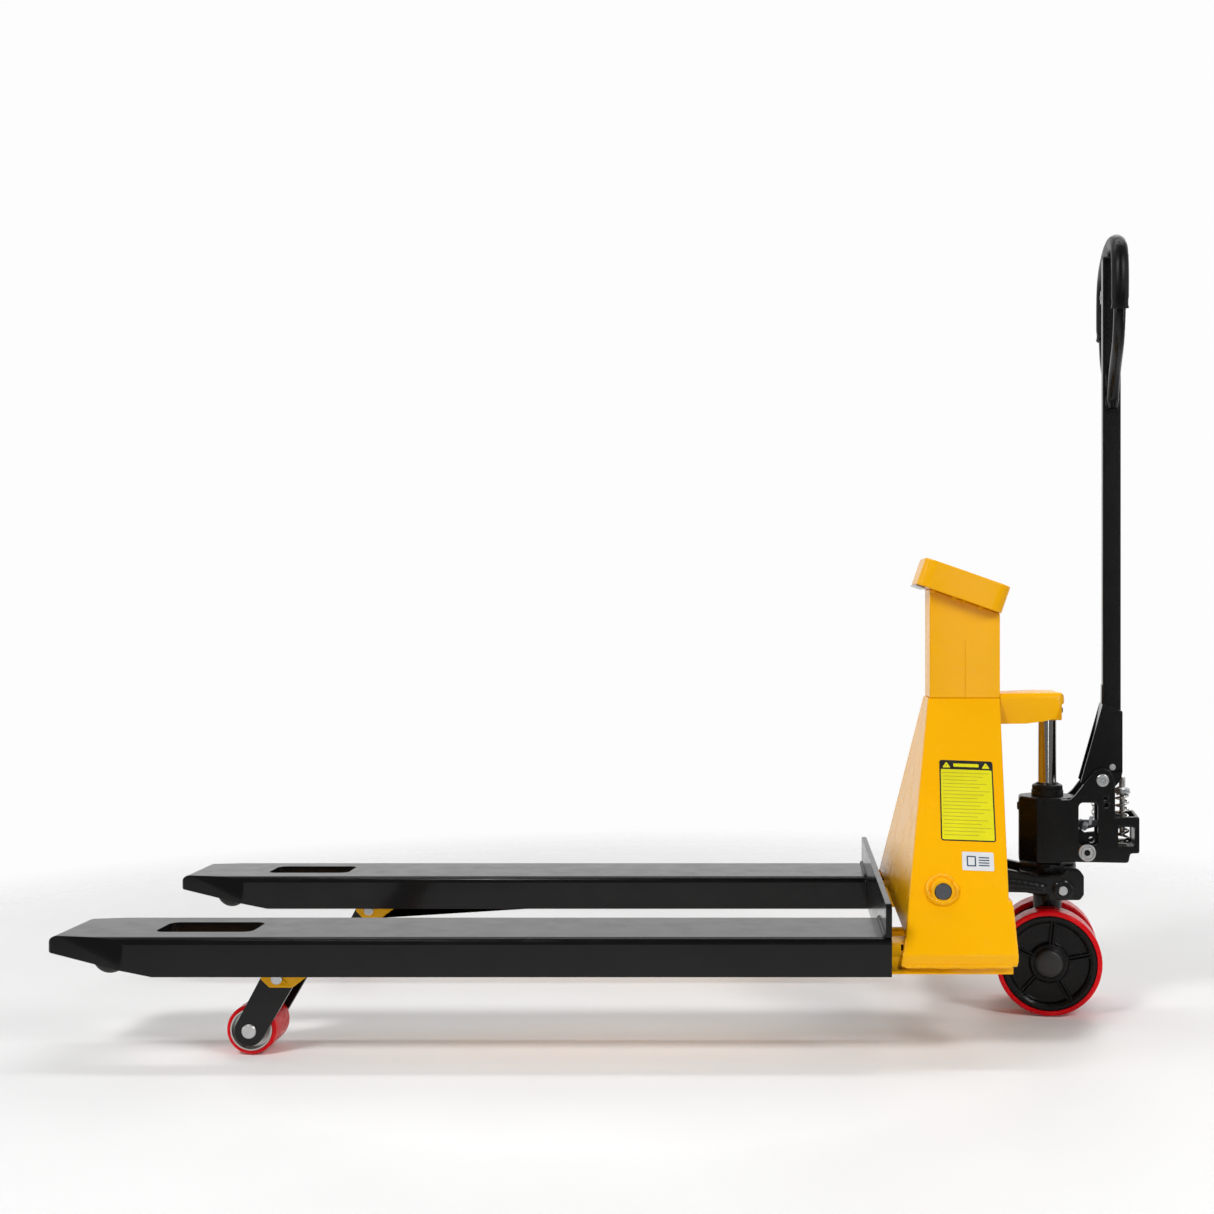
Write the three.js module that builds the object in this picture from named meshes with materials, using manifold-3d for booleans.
// Hand pallet truck with weighing forks, in millimetres, +Z up, +X towards the handle.
// The origin is on the floor under the middle of the whole truck, and the forks are raised.
// "left" is the operator's left hand side, at -Y.
import * as THREE from 'three';
import { mergeVertices } from 'three/addons/utils/BufferGeometryUtils.js';
import Module from 'manifold-3d';

const wasm = await Module();
wasm.setup();

// ---- driving dimensions ----
const FIT = 0.3; // gap between neighbouring pieces
const SIDES = { left: -1, right: 1 };

const FORK = {
  centreY: 261.5, halfWidth: 81, top: 181.5, bottom: 125, tipX: -831, rearX: 399.3, sheet: 4.5,
  taperX: -715, tipHalfWidth: 61, rampX: -671, lipZ: 157, cornerR: 10, noseR: 16,
};
const FORK_SLOT = { x0: -685, x1: -541, halfWidth: 36, cornerR: 14, rim: 2, rimDepth: 19 };
const CHANNEL = { halfWidth: 58, wall: 5, top: 170, bottom: 128, rearX: 578, frontX: -775, deckX: -455 };
const LUG = { x0: -520, x1: -474, rampX: -443, bottom: 104.5 };
const HEEL = { x0: 390.5, x1: 399.5, top: 230, bottom: 135, halfGap: 180.2 };
const LOAD_CELLS = { front: -345, rear: 305 };

const TOWER = {
  topZ: 511, foldZ: 153, bottomZ: 135, topHalfWidth: 42, slope: 0.79, topFrontX: 479.5, lean: 0.172,
  topRearX: 597, rearX: 579, sheet: 5, flangeZ: 222, flangeWidth: 22,
};
const SHAFT = { x: 480.3, z: 236.3, r: 12.8, halfLength: 275, bossR: 18 };
const POST = { x0: 482, x1: 597, halfWidth: 42, wall: 4 };
const CONSOLE = {
  x: 459.5, z: 697.5, tilt: 19.3, length: 147, halfWidth: 65, height: 46, cornerR: 20, wall: 4, base: 4,
};
const PANEL = { x0: 14, x1: 133, halfWidth: 55, floor: 44 };
const WINDOW = { x0: 24, x1: 64, halfWidth: 44 };
const KEYPAD = { x0: 79, x1: 121, halfWidth: 46, keys: 5, keyHalf: 7, margin: 12 };
const BRACKET = { x0: 597.4, x1: 705, blockX: 701, bottom: 469, top: 520.5, halfWidth: 41 };

const STEER = { x: 681, angle: -7 };
const STEM_R = 23.5;
const WHEEL = { r: 85, tread: 8, inner: 27, outer: 77, axleR: 10 };
const RAM = { r: 15.2, bottom: 346, top: 499.7, glandR: 26.3, glandTop: 367 };
const PUMP = {
  halfWidth: 47, rear: 145.6, bottom: 239, top: 348, flangeBottom: 222, cheekInner: 35, cheekOuter: 45,
};
const PIVOT = { x: 86.9, z: 378.3, r: 9.9, bossR: 20 };
const PLUNGER = { x: 122, r: 8, bottom: 276, top: 381, springR: 13, springBottom: 270, capBottom: 353 };
const VALVE = { x: 62, z: 260.6, r: 14 };
const RELEASE = { x: 58, z: 300, reach: 22, chainX: 75 };

const TUBE = { x0: 89.3, x1: 118.8, halfWidth: 15, wall: 2.5, bottom: 425, top: 1236 };
const LOOP = { x: 105, r: 9.5, gripR: 13.6, topZ: 1250, steps: 36, gripFrom: 0.22 };
const LEVER = { z: 1176, y: 26, reach: 92 };

const ROCKER_PIN = { x: 693.8, z: 202.3, r: 7.4 };
const ROD_PIN = { x: 462.5, z: 161.5, r: 7 };
const ARM = { x: -497, z: 117.6, boltR: 8.3, eyeX: -514.8, eyeZ: 141.7, eyeR: 6.5 };
const ROLLER = { x: -542, z: 37, r: 37, coreR: 31, halfLength: 35, axleR: 10.5 };
const ENTRY_ROLLER = { x: -747, z: 148.5, r: 27, halfLength: 46, stubR: 5 };

// ---- finishes: colour, roughness, metalness ----
const FINISH = {
  yellow: [0xf2a90f, 0.35, 0.1],
  black: [0x17181a, 0.35, 0.2],
  casting: [0x1b1d1f, 0.5, 0.3],
  red: [0xc4100f, 0.35, 0.0],
  steel: [0x8f9296, 0.35, 0.9],
  chrome: [0xb9bcc0, 0.12, 1.0],
  zinc: [0xc3c6c8, 0.3, 0.9],
  nylon: [0x1d1d1f, 0.55, 0.0],
  rubber: [0x141415, 0.65, 0.0],
  plastic: [0x34373b, 0.5, 0.0],
  glass: [0x4d5a52, 0.1, 0.0],
};

// ---- solids ----
function solidOf(geometry) {
  for (const name of Object.keys(geometry.attributes)) {
    if (name !== 'position') geometry.deleteAttribute(name);
  }
  const merged = mergeVertices(geometry, 1e-4);
  return new wasm.Manifold(new wasm.Mesh({
    numProp: 3,
    vertProperties: new Float32Array(merged.attributes.position.array),
    triVerts: new Uint32Array(merged.index.array),
  }));
}

function geometryOf(solid) {
  const mesh = solid.getMesh();
  const geometry = new THREE.BufferGeometry();
  geometry.setAttribute('position', new THREE.BufferAttribute(mesh.vertProperties, 3));
  geometry.setIndex(new THREE.BufferAttribute(mesh.triVerts, 1));
  geometry.computeVertexNormals();
  return geometry;
}

const join = (...solids) => solids.reduce((sum, solid) => sum.add(solid));
const cut = (body, ...tools) => tools.reduce((rest, tool) => rest.subtract(tool), body);
const common = (...solids) => solids.reduce((sum, solid) => sum.intersect(solid));

function box(x0, x1, y0, y1, z0, z1) {
  const geometry = new THREE.BoxGeometry(x1 - x0, y1 - y0, z1 - z0);
  geometry.translate((x0 + x1) / 2, (y0 + y1) / 2, (z0 + z1) / 2);
  return solidOf(geometry);
}

// A cylinder along X, Y or Z; a and b are its centre's two other coordinates, in X, Y, Z order.
function rod(axis, a, b, radius, from, to, sides = 16) {
  const geometry = new THREE.CylinderGeometry(radius, radius, to - from, sides);
  const middle = (from + to) / 2;
  if (axis === 'x') geometry.rotateZ(Math.PI / 2).translate(middle, a, b);
  if (axis === 'y') geometry.translate(a, middle, b);
  if (axis === 'z') geometry.rotateX(Math.PI / 2).translate(a, b, middle);
  return solidOf(geometry);
}

const ring = (axis, a, b, outer, inner, from, to, sides = 16) => cut(
  rod(axis, a, b, outer, from, to, sides),
  rod(axis, a, b, inner, from - 1, to + 1, sides),
);

// The range from a to b on one side of the middle, smaller number first.
const span = (side, a, b) => [Math.min(side * a, side * b), Math.max(side * a, side * b)];

const outline = (points) => new THREE.Shape(points.map(([u, v]) => new THREE.Vector2(u, v)));

function roundedRectangle(u0, v0, u1, v1, r) {
  const shape = new THREE.Shape();
  shape.absarc(u1 - r, v0 + r, r, -Math.PI / 2, 0);
  shape.absarc(u1 - r, v1 - r, r, 0, Math.PI / 2);
  shape.absarc(u0 + r, v1 - r, r, Math.PI / 2, Math.PI);
  shape.absarc(u0 + r, v0 + r, r, Math.PI, 1.5 * Math.PI);
  shape.closePath();
  return shape;
}

// The plate outline round two circles of radius ra and rb.
function linkOutline(ax, az, ra, bx, bz, rb) {
  const along = Math.atan2(bz - az, bx - ax);
  const spread = Math.acos((ra - rb) / Math.hypot(bx - ax, bz - az));
  const shape = new THREE.Shape();
  shape.absarc(bx, bz, rb, along - spread, along + spread);
  shape.absarc(ax, az, ra, along + spread, along - spread + 2 * Math.PI);
  shape.closePath();
  return shape;
}

// Extrusions: the outline lies in the YZ, XZ or XY plane.
function extrude(shape, depth, arcs) {
  return new THREE.ExtrudeGeometry(shape, { depth, bevelEnabled: false, curveSegments: arcs });
}

function alongX(shape, x0, x1, arcs = 3) {
  const basis = new THREE.Matrix4().makeBasis(
    new THREE.Vector3(0, 1, 0), new THREE.Vector3(0, 0, 1), new THREE.Vector3(1, 0, 0),
  );
  return solidOf(extrude(shape, x1 - x0, arcs).applyMatrix4(basis).translate(x0, 0, 0));
}

const alongY = (shape, y0, y1, arcs = 3) => solidOf(
  extrude(shape, y1 - y0, arcs).rotateX(Math.PI / 2).translate(0, y1, 0),
);

const alongZ = (shape, z0, z1, arcs = 3) => solidOf(extrude(shape, z1 - z0, arcs).translate(0, 0, z0));

function piece(name, solid, finish) {
  const [color, roughness, metalness] = FINISH[finish];
  const mesh = new THREE.Mesh(
    geometryOf(solid),
    new THREE.MeshStandardMaterial({ color, roughness, metalness }),
  );
  mesh.name = name;
  return mesh;
}

// ---- forks ----
// Side outline of the pressed cover, drawn inset by the given amount all round.
function coverSide(inset) {
  const shape = new THREE.Shape();
  const noseX = FORK.tipX + FORK.noseR;
  const noseZ = FORK.top - FORK.noseR;
  const drop = inset ? 20 : 0;
  shape.moveTo(FORK.rearX + drop, FORK.bottom - drop);
  shape.lineTo(FORK.rearX + drop, FORK.top - inset);
  shape.absarc(noseX + inset, noseZ, FORK.noseR - inset, Math.PI / 2, Math.PI);
  if (inset) {
    shape.lineTo(FORK.tipX + 14, FORK.lipZ - drop);
  } else {
    shape.absarc(FORK.tipX + 6, FORK.lipZ + 6, 6, Math.PI, 1.5 * Math.PI);
  }
  shape.lineTo(FORK.rampX, FORK.bottom - drop);
  shape.closePath();
  return shape;
}

function coverPlan(inset) {
  const wide = FORK.halfWidth - inset;
  const narrow = FORK.tipHalfWidth - inset;
  return outline([
    [FORK.rearX + 20, -wide], [FORK.rearX + 20, wide], [FORK.taperX, wide], [FORK.tipX + 8, narrow + 1],
    [FORK.tipX, narrow - 8], [FORK.tipX, 8 - narrow], [FORK.tipX + 8, -narrow - 1], [FORK.taperX, -wide],
  ]);
}

function coverSection(inset) {
  const shape = new THREE.Shape();
  const side = FORK.halfWidth - inset;
  const r = FORK.cornerR - inset;
  shape.moveTo(side, 90);
  shape.lineTo(side, FORK.top - inset - r);
  shape.absarc(side - r, FORK.top - inset - r, r, 0, Math.PI / 2);
  shape.absarc(r - side, FORK.top - inset - r, r, Math.PI / 2, Math.PI);
  shape.lineTo(-side, 90);
  shape.closePath();
  return shape;
}

function coverBlock(inset) {
  return common(
    alongY(coverSide(inset), -FORK.halfWidth, FORK.halfWidth),
    alongZ(coverPlan(inset), 90, 190),
    alongX(coverSection(inset), FORK.tipX - 5, FORK.rearX + 20, 3),
  );
}

function forkCover() {
  const { x0, x1, halfWidth, cornerR, rim, rimDepth } = FORK_SLOT;
  const slot = roundedRectangle(x0, -halfWidth, x1, halfWidth, cornerR);
  const rimPlan = roundedRectangle(x0 - rim, -halfWidth - rim, x1 + rim, halfWidth + rim, cornerR + rim);
  const flange = alongZ(rimPlan, FORK.top - rimDepth, FORK.top - FORK.sheet + 0.5, 2);
  const weldSeat = box(HEEL.x0 - FIT, FORK.rearX + 1, -90, 90, FORK.top - 0.5, FORK.top + 1);
  const pressed = join(cut(coverBlock(0), coverBlock(FORK.sheet)), flange);
  const shell = cut(pressed, alongZ(slot, 150, 190, 2), weldSeat);
  return common(shell, box(FORK.tipX - 5, FORK.rearX, -90, 90, 100, 200));
}

function heelPlate() {
  const seat = FORK.top + FIT;
  const edge = FORK.centreY + FORK.halfWidth;
  return alongX(outline([
    [-edge, seat], [-HEEL.halfGap, seat], [-HEEL.halfGap, HEEL.bottom], [HEEL.halfGap, HEEL.bottom],
    [HEEL.halfGap, seat], [edge, seat], [edge, HEEL.top - 6], [edge - 6, HEEL.top],
    [6 - edge, HEEL.top], [-edge, HEEL.top - 6],
  ]), HEEL.x0, HEEL.x1);
}

// Half-width of the tower's outer face at height z.
const towerHalfWidth = (z) => TOWER.topHalfWidth + TOWER.slope * (TOWER.topZ - z);
const TOWER_SHEET_Y = TOWER.sheet * Math.hypot(1, TOWER.slope);

// The load-bearing channel inside a cover, about the fork's own centre line.
function innerFork(side) {
  const { halfWidth, wall, top, bottom, rearX, frontX, deckX } = CHANNEL;
  const profile = outline([
    [rearX, bottom - 4], [FORK.rearX + 0.5, bottom - 4], [FORK.rearX + 0.5, bottom], [LUG.rampX, bottom],
    [LUG.x1, LUG.bottom], [LUG.x0 + 12, LUG.bottom], [LUG.x0, LUG.bottom + 12], [LUG.x0, bottom],
    [FORK.rampX, bottom], [frontX, FORK.lipZ - 12], [frontX, top], [rearX, top],
  ]);
  const walls = cut(
    alongY(profile, -halfWidth, halfWidth),
    box(frontX - 1, rearX + 1, wall - halfWidth, halfWidth - wall, 90, 200),
  );
  const deck = box(deckX, rearX, -halfWidth, halfWidth, top - wall, top);
  const noseTie = box(-695, -688, wall - halfWidth - 1, halfWidth - wall + 1, 136, top);
  const rockerWindow = box(400, 545, ...span(-side, -12, 50), 150, 180);
  const cellHoles = Object.values(LOAD_CELLS).map((x) => rod('z', x - 40, side * 30, 9.5, 150, 180));
  const bolt = rod('y', ARM.x, ARM.z, ARM.boltR + FIT, -70, 70);
  const stub = rod('y', ENTRY_ROLLER.x, ENTRY_ROLLER.z, ENTRY_ROLLER.stubR + FIT, -70, 70);
  const underPlate = (z) => side * (towerHalfWidth(z) - TOWER_SHEET_Y - FIT - FORK.centreY);
  const outboard = alongX(outline([
    [underPlate(180), 180], [underPlate(150), 150], [side * 150, 150], [side * 150, 180],
  ]), 414, rearX + 1);
  return cut(join(walls, deck, noseTie), rockerWindow, ...cellHoles, bolt, stub, outboard);
}

function loadCell(x, side) {
  return join(
    box(x - 55, x + 55, ...span(side, 14, 46), 137, 164.6),
    rod('z', x - 40, side * 30, 8, 160, 176.6),
  );
}

// ---- tower ----
function sidePlate(side) {
  const { topZ, foldZ, bottomZ, topFrontX, lean, topRearX, rearX, flangeZ } = TOWER;
  const outer = (z) => side * towerHalfWidth(z);
  const inner = (z) => side * (towerHalfWidth(z) - TOWER_SHEET_Y);
  const bandHalf = FORK.centreY + CHANNEL.halfWidth + FIT;
  const bandInner = side * bandHalf;
  const bandFoldZ = topZ - (bandHalf + TOWER_SHEET_Y - TOWER.topHalfWidth) / TOWER.slope;
  const leaning = alongX(outline([
    [outer(topZ), topZ], [outer(foldZ), foldZ], [outer(foldZ), bottomZ], [bandInner, bottomZ],
    [bandInner, bandFoldZ], [inner(topZ), topZ],
  ]), 400, 610);
  const profile = alongY(outline([
    [topFrontX, topZ], [topFrontX - lean * (topZ - bottomZ), bottomZ], [rearX - 1.5, bottomZ],
    [rearX, 223], [topRearX, topZ],
  ]), -350, 350);
  const inward = side * TOWER.flangeWidth;
  const flange = alongX(outline([
    [outer(flangeZ), flangeZ], [outer(foldZ), foldZ], [outer(foldZ), bottomZ],
    [bandInner - inward, bottomZ], [bandInner - inward, bandFoldZ], [inner(flangeZ) - inward, flangeZ],
  ]), rearX + FIT, rearX + 5);
  const flangeRoot = alongX(outline([
    [outer(flangeZ), flangeZ], [outer(foldZ), foldZ], [outer(foldZ), bottomZ],
    [bandInner, bottomZ], [bandInner, bandFoldZ], [inner(flangeZ), flangeZ],
  ]), rearX - 3, rearX + 5);
  const from = side < 0 ? -SHAFT.halfLength : 238;
  const boss = rod('y', SHAFT.x, SHAFT.z, SHAFT.bossR, from, from + SHAFT.halfLength - 238);
  const bore = rod('y', SHAFT.x, SHAFT.z, SHAFT.r + FIT, -300, 300);
  return cut(join(common(leaning, profile), flangeRoot, flange, boss), bore);
}

function frontPlate() {
  const { topZ, topFrontX, lean, sheet } = TOWER;
  const foot = 176;
  const footX = topFrontX - lean * (topZ - foot);
  const band = alongY(outline([
    [topFrontX, topZ], [footX, foot], [footX + sheet, foot], [topFrontX + sheet, topZ],
  ]), -350, 350);
  const half = (z) => towerHalfWidth(z) - TOWER_SHEET_Y - 0.5;
  return common(band, alongX(outline([
    [half(topZ), topZ], [half(foot), foot], [-half(foot), foot], [-half(topZ), topZ],
  ]), 400, 500));
}

// Turns a solid drawn on the console's own plane to its tilted place.
function onConsole(mesh) {
  mesh.position.set(CONSOLE.x, 0, CONSOLE.z);
  mesh.rotation.y = THREE.MathUtils.degToRad(CONSOLE.tilt);
  return mesh;
}

function columnPost() {
  const { x0, x1, halfWidth, wall } = POST;
  const foot = TOWER.topZ + FIT;
  const aboveConsole = new THREE.BoxGeometry(400, 300, 300).translate(100, 0, 150 - FIT);
  aboveConsole.rotateY(THREE.MathUtils.degToRad(CONSOLE.tilt)).translate(CONSOLE.x, 0, CONSOLE.z);
  return cut(
    box(x0, x1, -halfWidth, halfWidth, foot, 760),
    box(x0 + wall, x1 - wall, wall - halfWidth, halfWidth - wall, foot - 1, 761),
    solidOf(aboveConsole),
  );
}

function consolePlan(inset) {
  const { length, halfWidth, cornerR } = CONSOLE;
  return roundedRectangle(inset, inset - halfWidth, length - inset, halfWidth - inset, cornerR - inset);
}

function consoleHousing() {
  return cut(
    alongZ(consolePlan(0), 0, CONSOLE.height),
    alongZ(consolePlan(CONSOLE.wall), -1, 40),
    box(PANEL.x0, PANEL.x1, -PANEL.halfWidth, PANEL.halfWidth, PANEL.floor, 60),
  );
}

const consoleBase = () => alongZ(consolePlan(CONSOLE.wall + FIT), 0, CONSOLE.base);

function consolePanel() {
  const { x0, x1, halfWidth, floor } = PANEL;
  return cut(
    box(x0 + FIT, x1 - FIT, FIT - halfWidth, halfWidth - FIT, floor + FIT, CONSOLE.height + 0.6),
    box(WINDOW.x0, WINDOW.x1, -WINDOW.halfWidth, WINDOW.halfWidth, floor + 1, 60),
    box(KEYPAD.x0, KEYPAD.x1, -KEYPAD.halfWidth, KEYPAD.halfWidth, floor + 1, 60),
  );
}

function consoleWindow() {
  const { x0, x1, halfWidth } = WINDOW;
  const floor = PANEL.floor + 1 + FIT;
  return box(x0 + FIT, x1 - FIT, FIT - halfWidth, halfWidth - FIT, floor, CONSOLE.height + 0.4);
}

// A membrane keypad: one row of domed keys on one mat.
function keypad() {
  const { x0, x1, halfWidth, keys, keyHalf, margin } = KEYPAD;
  const pitch = (2 * halfWidth) / keys;
  const floor = PANEL.floor + 1 + FIT;
  let mat = box(x0 + FIT, x1 - FIT, FIT - halfWidth, halfWidth - FIT, floor, floor + 0.8);
  for (let key = 0; key < keys; key += 1) {
    const y = (key + 0.5) * pitch - halfWidth;
    mat = join(mat, box(x0 + margin, x1 - margin, y - keyHalf, y + keyHalf, floor, CONSOLE.height + 1));
  }
  return mat;
}

function liftBracket() {
  const { x0, x1, blockX, bottom, top, halfWidth } = BRACKET;
  const profile = new THREE.Shape();
  profile.moveTo(x0, bottom);
  profile.lineTo(660, bottom + 2);
  profile.lineTo(668, bottom + 5);
  profile.lineTo(blockX, bottom + 5);
  profile.lineTo(blockX, 500);
  profile.lineTo(x1, 505);
  profile.absarc(x1 - 10, top - 10, 10, 0, Math.PI / 2);
  profile.lineTo(x0, top);
  const neck = box(545, x0 + 1, -33, 33, 476, 504);
  const pocket = box(603, 658, 7 - halfWidth, halfWidth - 7, bottom - 5, 512);
  const socket = rod('z', STEER.x, 0, RAM.r + FIT, bottom - 5, RAM.top + FIT, 24);
  return cut(join(alongY(profile, -halfWidth, halfWidth), neck), pocket, socket);
}

// ---- linkage ----
// One casting: cross tube on the shaft, two rear arms astride the steering ring, two rod levers.
function rocker() {
  const armInner = 56;
  const armOuter = 74;
  const leverInner = 218;
  const leverOuter = 232;
  const arm = outline([
    [SHAFT.x - 22, 236], [SHAFT.x, 262], [540, 247], [606, 236], [652, 225], [700, 226], [720, 222],
    [728, 212], [728, 195], [722, 187], [678, 187], [668, 198], [612, 199.5], [600, 199.5], [583, 188],
    [552, 190], [500, 209], [SHAFT.x, 212],
  ]);
  const solids = [ring('y', SHAFT.x, SHAFT.z, 22, SHAFT.r + FIT, -leverOuter, leverOuter)];
  solids.push(box(545, 575, -armInner - 1, armInner + 1, 200, 232));
  const lever = linkOutline(SHAFT.x, SHAFT.z, 20, ROD_PIN.x, ROD_PIN.z, 13);
  for (const side of Object.values(SIDES)) {
    const ringPin = span(side, 45, armOuter + 3);
    const rodPin = span(side, leverInner, FORK.centreY + 9);
    solids.push(alongY(arm, ...span(side, armInner, armOuter)));
    solids.push(rod('y', ROCKER_PIN.x, ROCKER_PIN.z, ROCKER_PIN.r, ...ringPin));
    solids.push(alongY(lever, ...span(side, leverInner, leverOuter)));
    solids.push(rod('y', ROD_PIN.x, ROD_PIN.z, ROD_PIN.r, ...rodPin));
  }
  return cut(join(...solids), rod('y', SHAFT.x, SHAFT.z, SHAFT.r + FIT, -250, 250));
}

// The ring that the pump stem turns in, with a slotted ear each side for the rocker's pins.
function swivelRing() {
  const { x, z, r } = ROCKER_PIN;
  const body = join(
    rod('z', STEER.x, 0, 46, 190, 214, 24),
    box(673, 713, -55.5, -38, 190, 214),
    box(673, 713, 38, 55.5, 190, 214),
  );
  const pinSlots = Object.values(SIDES).map((side) => box(
    x - r - 8.6, x + r + 3.1, ...span(side, 42.4, 55.6), z - r - 1, z + r + 1.4,
  ));
  return cut(body, ...pinSlots, rod('z', STEER.x, 0, STEM_R + 1, 180, 230, 24));
}

function thrustBearing() {
  return ring('z', STEER.x, 0, 42, STEM_R + 1.5, 214.3, PUMP.flangeBottom - FIT, 24);
}

// A cranked flat bar about the fork's centre line; the front eye is a tall slot for the arm's pin.
function pushRod() {
  const { eyeX, eyeZ, eyeR } = ARM;
  const bar = outline([
    [eyeX - 15, eyeZ - 12], [eyeX + 20, eyeZ - 12], [eyeX + 36, eyeZ - 4], [384, eyeZ - 4],
    [430, ROD_PIN.z - 13], [ROD_PIN.x, ROD_PIN.z - 13], [ROD_PIN.x, ROD_PIN.z + 13], [440, ROD_PIN.z + 11],
    [380, eyeZ + 12], [eyeX + 36, eyeZ + 12], [eyeX + 20, eyeZ + 22], [eyeX - 15, eyeZ + 22],
  ]);
  const eye = rod('y', ROD_PIN.x, ROD_PIN.z, 13, -6.5, 6.5);
  const frontSlot = box(eyeX - eyeR - 1.5, eyeX + eyeR + 1.5, -8, 8, eyeZ - eyeR - 1, eyeZ + eyeR + 9.5);
  return cut(
    join(alongY(bar, -6.5, 6.5), eye),
    frontSlot,
    rod('y', ROD_PIN.x, ROD_PIN.z, ROD_PIN.r + FIT, -20, 20),
  );
}

// Two cheeks, the web between them and the rod's pin.
function rollerArm() {
  const cheek = (y0) => join(
    alongY(linkOutline(ARM.x, ARM.z, 24, ROLLER.x, ROLLER.z, 22), y0, y0 + 9),
    alongY(linkOutline(ARM.x, ARM.z, 20, ARM.eyeX, ARM.eyeZ, 13), y0, y0 + 9),
  );
  const webGeometry = new THREE.BoxGeometry(18, 74, 14).translate(34, 0, 0);
  webGeometry.rotateY(-Math.atan2(ROLLER.z - ARM.z, ROLLER.x - ARM.x)).translate(ARM.x, 0, ARM.z);
  const pin = rod('y', ARM.eyeX, ARM.eyeZ, ARM.eyeR, -44, 44);
  return cut(
    join(cheek(-45), cheek(36), solidOf(webGeometry), pin),
    rod('y', ARM.x, ARM.z, ARM.boltR + FIT, -50, 50),
    rod('y', ROLLER.x, ROLLER.z, ROLLER.axleR + FIT, -50, 50),
  );
}

function entryRoller() {
  const { x, z, r, halfLength, stubR } = ENTRY_ROLLER;
  return join(
    rod('y', x, z, r, -halfLength, halfLength, 24),
    rod('y', x, z, stubR, -CHANNEL.halfWidth, CHANNEL.halfWidth),
  );
}

// ---- pump and steering, about the steering axis ----
function pumpBody() {
  const { halfWidth, bottom, top, flangeBottom, cheekInner, cheekOuter } = PUMP;
  const octagon = new THREE.CylinderGeometry(
    halfWidth / Math.cos(Math.PI / 8), halfWidth / Math.cos(Math.PI / 8), top - bottom, 8,
  );
  octagon.rotateY(Math.PI / 8).rotateX(Math.PI / 2).translate(0, 0, (top + bottom) / 2);
  const cheek = new THREE.Shape();
  cheek.moveTo(30, bottom);
  cheek.lineTo(129, bottom);
  cheek.lineTo(PUMP.rear, 256);
  cheek.lineTo(PUMP.rear, 317);
  cheek.lineTo(107, 317);
  cheek.absarc(PIVOT.x, PIVOT.z, PIVOT.bossR, 0, 0.82 * Math.PI);
  cheek.lineTo(55, 352);
  cheek.lineTo(44, 345);
  cheek.lineTo(30, 345);
  const springBlock = outline([
    [98, bottom], [129, bottom], [PUMP.rear, 256], [PUMP.rear, 317], [139.5, 317], [139.5, 268], [98, 268],
  ]);
  const body = join(
    solidOf(octagon),
    rod('z', 0, 0, halfWidth, flangeBottom, bottom + 0.5, 24),
    rod('z', 0, 0, STEM_R, 187.8, bottom, 24),
    alongY(cheek, -cheekOuter, -cheekInner),
    alongY(cheek, cheekInner, cheekOuter),
    alongY(springBlock, -cheekInner - 0.5, cheekInner + 0.5),
  );
  return cut(
    body,
    alongY(roundedRectangle(48.6, 272, 79.4, 338, 7), -60, 60, 2),
    box(88.5, 97, -60, 60, 345.5, 351.5),
    rod('y', 94, 337, 4.8, -60, 60),
    box(112, 138, -60, 60, 272, 303),
    rod('z', 0, 0, RAM.r + FIT, 242, top + 5, 24),
    rod('z', PLUNGER.x, 0, PLUNGER.r + 0.5, 241.5, 330),
    rod('y', PIVOT.x, PIVOT.z, PIVOT.r + FIT, -60, 60),
    rod('y', RELEASE.x, RELEASE.z, 4.4, -60, 60),
  );
}

function axleCarrier() {
  const axleZ = WHEEL.r;
  return cut(
    join(rod('z', 0, 0, STEM_R, axleZ, 187.5), rod('y', 0, axleZ, 24, -25.5, 25.5)),
    rod('y', 0, axleZ, WHEEL.axleR + FIT, -40, 40),
  );
}

// Spoked cast wheel centre: a deep rim, a thin web, five ribs and a closed hub nose.
function wheelHub(side) {
  const rimR = WHEEL.r - WHEEL.tread - FIT;
  const face = WHEEL.outer - 1;
  const ribFrom = 24;
  const recess = ring('y', 0, WHEEL.r, 65, 31, ...span(side, face - 9, face + 5), 24);
  const solids = [
    cut(rod('y', 0, WHEEL.r, rimR, ...span(side, WHEEL.inner + 1, face), 32), recess),
    rod('y', 0, WHEEL.r, 22, ...span(side, face - 1, face + 6)),
  ];
  for (let rib = 0; rib < 5; rib += 1) {
    const geometry = new THREE.BoxGeometry(44, 7).translate(ribFrom + 22, side * (face - 5.5), 0);
    geometry.rotateY(-THREE.MathUtils.degToRad(84 - 72 * rib)).translate(0, 0, WHEEL.r);
    solids.push(solidOf(geometry));
  }
  return cut(join(...solids), rod('y', 0, WHEEL.r, WHEEL.axleR + FIT, ...span(side, 0, WHEEL.outer - 1)));
}

function valveScrew() {
  return rod('y', VALVE.x, VALVE.z, VALVE.r, -PUMP.cheekOuter - 5.5, -PUMP.cheekOuter - FIT);
}

function plungerPin() {
  return rod('z', PLUNGER.x, 0, PLUNGER.r, PLUNGER.bottom, PLUNGER.top);
}

function returnSpring() {
  const { x, springR, springBottom, capBottom } = PLUNGER;
  return ring('z', x, 0, springR, 9.2, springBottom, capBottom - FIT);
}

function releaseLever() {
  const { x, z, reach } = RELEASE;
  return join(
    alongY(linkOutline(x, z, 8, x + reach, z + 3, 5), -6, 6),
    rod('y', x, z, 4, -44, 44),
  );
}

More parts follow.
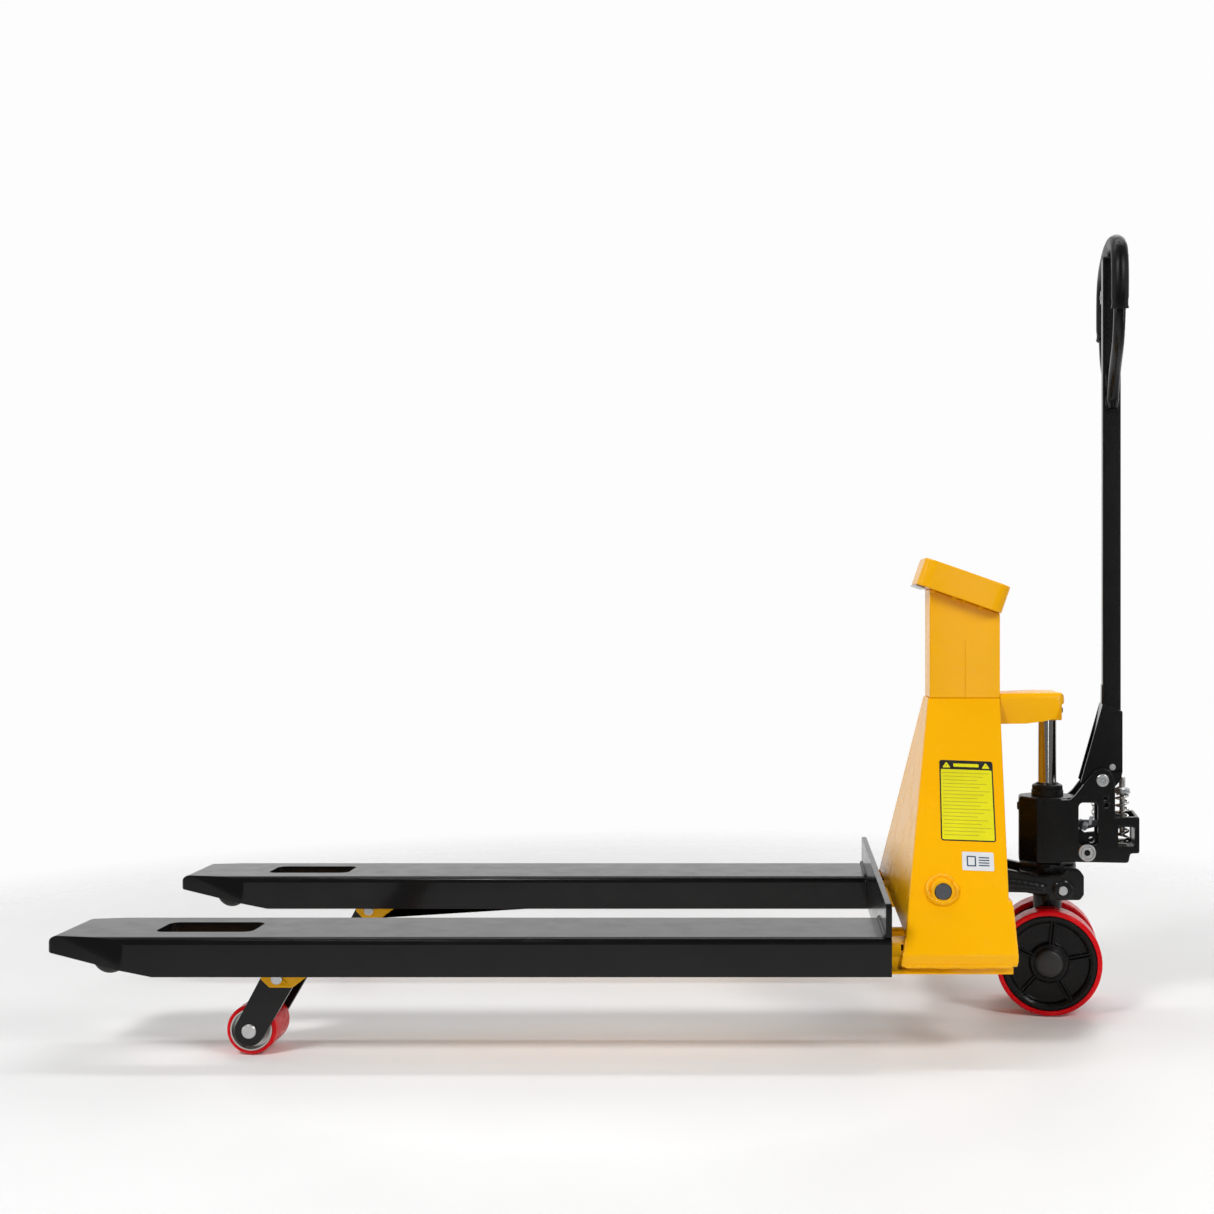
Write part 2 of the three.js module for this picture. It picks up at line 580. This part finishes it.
// ---- handle, about the steering axis ----
// Folded base: two cheeks, a front web and a sloping top plate round the tube.
function handleBase() {
  const side = outline([
    [52.3, 373], [75, 361], [102, 360], [117, 378], [119.7, 392], [119.7, 490], [87.6, 500.7],
  ]);
  const web = outline([[52.3, 373], [57.5, 373], [92.8, 499], [92.8, 532], [88, 532], [87.6, 500.7]]);
  const lid = outline([[87.6, 500.7], [119.7, 490], [119.7, 485], [87.6, 495.7]]);
  const solid = join(
    alongY(side, -34.5, -29),
    alongY(side, 29, 34.5),
    common(alongY(web, -30, 30), join(box(40, 130, -30, 30, 360, 501), box(40, 130, -12, 12, 500, 540))),
    alongY(lid, -30, 30),
  );
  return cut(
    solid,
    box(TUBE.x0 - FIT, TUBE.x1 + 5, -TUBE.halfWidth - FIT, TUBE.halfWidth + FIT, TUBE.bottom - 5, 545),
    rod('y', PIVOT.x, PIVOT.z, PIVOT.r + FIT, -50, 50),
    rod('y', 103.8, 399, 5.6, -50, 50),
  );
}

function pressureRoller() {
  return join(rod('y', 103.8, 399, 15, -20, 20), rod('y', 103.8, 399, 5.2, -34.8, 34.8));
}

function handleTube() {
  const { x0, x1, halfWidth, wall, bottom, top } = TUBE;
  const middle = (x0 + x1) / 2;
  const bore = box(x0 + wall, x1 - wall, wall - halfWidth, halfWidth - wall, bottom - 1, top - 4);
  const ears = join(
    box(middle - 15, middle - 11, halfWidth - 1, 34, LEVER.z - 11, LEVER.z + 11),
    box(middle + 11, middle + 15, halfWidth - 1, 34, LEVER.z - 11, LEVER.z + 11),
  );
  const drilled = cut(ears, rod('x', LEVER.y, LEVER.z, 3.8, 60, 150));
  return join(cut(box(x0, x1, -halfWidth, halfWidth, bottom, top), bore), drilled);
}

// Points (Y, Z) of half the loop's middle line, from the tube upwards.
const LOOP_HALF = [
  [25.2, 986], [28, 1006], [62, 1040], [124, 1078], [150, 1120], [157, 1165], [150, 1206],
  [122, 1231], [62, 1246],
];
const loopPath = new THREE.CatmullRomCurve3([
  ...LOOP_HALF.map(([y, z]) => new THREE.Vector3(LOOP.x, -y, z)),
  new THREE.Vector3(LOOP.x, 0, LOOP.topZ),
  ...LOOP_HALF.map(([y, z]) => new THREE.Vector3(LOOP.x, y, z)).reverse(),
]);

function sweep(path, radius, steps) {
  const section = new THREE.Shape().absarc(0, 0, radius, 0, 2 * Math.PI);
  return solidOf(new THREE.ExtrudeGeometry(section, { steps, curveSegments: 4, extrudePath: path }));
}

function handleGrip() {
  const points = [];
  for (let step = 0; step <= 20; step += 1) {
    points.push(loopPath.getPointAt(LOOP.gripFrom + ((1 - 2 * LOOP.gripFrom) * step) / 20));
  }
  const covered = new THREE.CatmullRomCurve3(points);
  return cut(sweep(covered, LOOP.gripR, 20), sweep(loopPath, LOOP.r + 0.4, LOOP.steps));
}

function controlLever() {
  const middle = (TUBE.x0 + TUBE.x1) / 2;
  return join(
    rod('x', LEVER.y, LEVER.z, 8, middle - 10.6, middle + 10.6),
    rod('x', LEVER.y, LEVER.z, 3.5, middle - 16, middle + 16),
    box(middle - 8, middle + 8, LEVER.y, LEVER.reach, LEVER.z - 2.5, LEVER.z + 2.5),
    rod('x', LEVER.reach, LEVER.z, 5, middle - 8, middle + 8),
  );
}

// ---- assembly ----
const truck = new THREE.Group();
const steered = new THREE.Group();
steered.position.x = STEER.x;
steered.rotation.z = THREE.MathUtils.degToRad(STEER.angle);
truck.add(steered);

function addForks(name, side) {
  const fork = new THREE.Group();
  fork.position.y = side * FORK.centreY;
  const { x, z, r, coreR, halfLength, axleR } = ROLLER;
  const tyre = ring('y', x, z, r, coreR, -halfLength, halfLength, 24);
  const core = ring('y', x, z, coreR - FIT, axleR + FIT, -halfLength, halfLength, 24);
  fork.add(
    piece(`fork_cover_${name}`, forkCover(), 'black'),
    piece(`inner_fork_${name}`, innerFork(side), 'yellow'),
    piece(`load_cell_front_${name}`, loadCell(LOAD_CELLS.front, side), 'steel'),
    piece(`load_cell_rear_${name}`, loadCell(LOAD_CELLS.rear, side), 'steel'),
    piece(`arm_bolt_${name}`, rod('y', ARM.x, ARM.z, ARM.boltR, -61, 61), 'zinc'),
    piece(`roller_arm_${name}`, rollerArm(), 'black'),
    piece(`roller_axle_${name}`, rod('y', x, z, axleR, -47, 47), 'zinc'),
    piece(`roller_tyre_${name}`, tyre, 'red'),
    piece(`roller_core_${name}`, core, 'steel'),
    piece(`entry_roller_${name}`, entryRoller(), 'nylon'),
    piece(`push_rod_${name}`, pushRod(), 'black'),
  );
  truck.add(fork);
}

function addWheel(name, side) {
  const { r, tread, inner, outer } = WHEEL;
  steered.add(
    piece(`wheel_hub_${name}`, wheelHub(side), 'casting'),
    piece(`wheel_tyre_${name}`, ring('y', 0, r, r, r - tread, ...span(side, inner, outer), 32), 'red'),
  );
}

for (const [name, side] of Object.entries(SIDES)) {
  addForks(name, side);
  addWheel(name, side);
  truck.add(piece(`side_plate_${name}`, sidePlate(side), 'yellow'));
}

truck.add(
  piece('heel_plate', heelPlate(), 'black'),
  piece('front_plate', frontPlate(), 'yellow'),
  piece('column_post', columnPost(), 'yellow'),
  piece('lift_bracket', liftBracket(), 'yellow'),
  piece('rocker_shaft', rod('y', SHAFT.x, SHAFT.z, SHAFT.r, -SHAFT.halfLength, SHAFT.halfLength), 'steel'),
  piece('rocker', rocker(), 'casting'),
  piece('swivel_ring', swivelRing(), 'casting'),
  piece('thrust_bearing', thrustBearing(), 'steel'),
  piece('ram', rod('z', STEER.x, 0, RAM.r, RAM.bottom, RAM.top, 24), 'chrome'),
  onConsole(piece('indicator_base_plate', consoleBase(), 'yellow')),
  onConsole(piece('indicator_housing', consoleHousing(), 'yellow')),
  onConsole(piece('indicator_panel', consolePanel(), 'plastic')),
  onConsole(piece('indicator_window', consoleWindow(), 'glass')),
  onConsole(piece('keypad', keypad(), 'plastic')),
);

steered.add(
  piece('pump_body', pumpBody(), 'casting'),
  piece('axle_carrier', axleCarrier(), 'casting'),
  piece('steer_axle', rod('y', 0, WHEEL.r, WHEEL.axleR, 1.5 - WHEEL.outer, WHEEL.outer - 1.5), 'steel'),
  piece('ram_gland', ring('z', 0, 0, RAM.glandR, RAM.r + FIT, PUMP.top + FIT, RAM.glandTop, 24), 'casting'),
  piece('valve_screw', valveScrew(), 'zinc'),
  piece('handle_pivot_pin', rod('y', PIVOT.x, PIVOT.z, PIVOT.r, -48, 48), 'zinc'),
  piece('plunger', plungerPin(), 'steel'),
  piece('plunger_cap', ring('z', PLUNGER.x, 0, 14, PLUNGER.r + FIT, PLUNGER.capBottom, 364), 'zinc'),
  piece('return_spring', returnSpring(), 'zinc'),
  piece('release_lever', releaseLever(), 'zinc'),
  piece('release_chain', box(RELEASE.chainX - 1.5, RELEASE.chainX + 1.5, -1.5, 1.5, 312, 366), 'zinc'),
  piece('handle_base', handleBase(), 'black'),
  piece('pressure_roller', pressureRoller(), 'zinc'),
  piece('handle_tube', handleTube(), 'black'),
  piece('handle_loop', sweep(loopPath, LOOP.r, LOOP.steps), 'black'),
  piece('handle_grip', handleGrip(), 'rubber'),
  piece('control_lever', controlLever(), 'zinc'),
);

export default truck;
